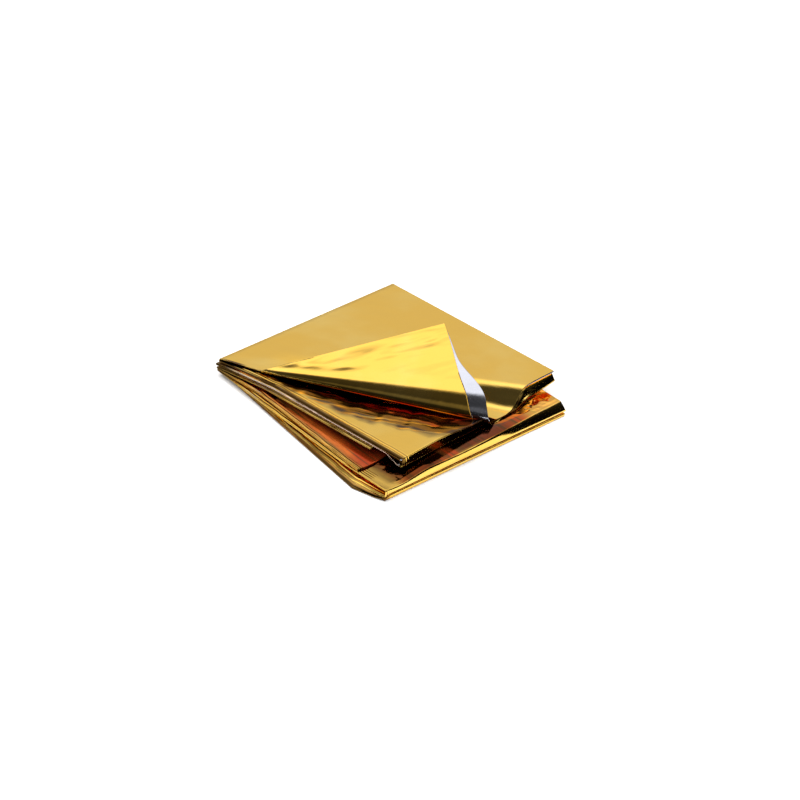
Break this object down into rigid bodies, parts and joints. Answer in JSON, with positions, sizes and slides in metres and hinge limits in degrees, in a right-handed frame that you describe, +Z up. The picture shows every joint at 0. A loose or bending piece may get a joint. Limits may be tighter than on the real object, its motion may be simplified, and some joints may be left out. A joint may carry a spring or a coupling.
{
  "type": "emergency foil blanket",
  "caption": "Gold and silver metallised film rescue blanket, folded to a flat square packet, with one corner of its top layer curled back as a flap.",
  "frame": {"origin": "under the middle of the folded packet's outline, on the surface it lies on", "axes": "+Z up; +X from the packet's back folds to its front folds; +Y from its left edge to its right edge"},
  "size_m": [0.4934, 0.4428, 0.1017],
  "materials": {
    "gold_foil": "mirror-bright metallised film, gold on its outer face and silver on its inner face"
  },
  "bodies": {
    "root": {"foil_blanket": "gold_foil"}
  },
  "joints": []
}
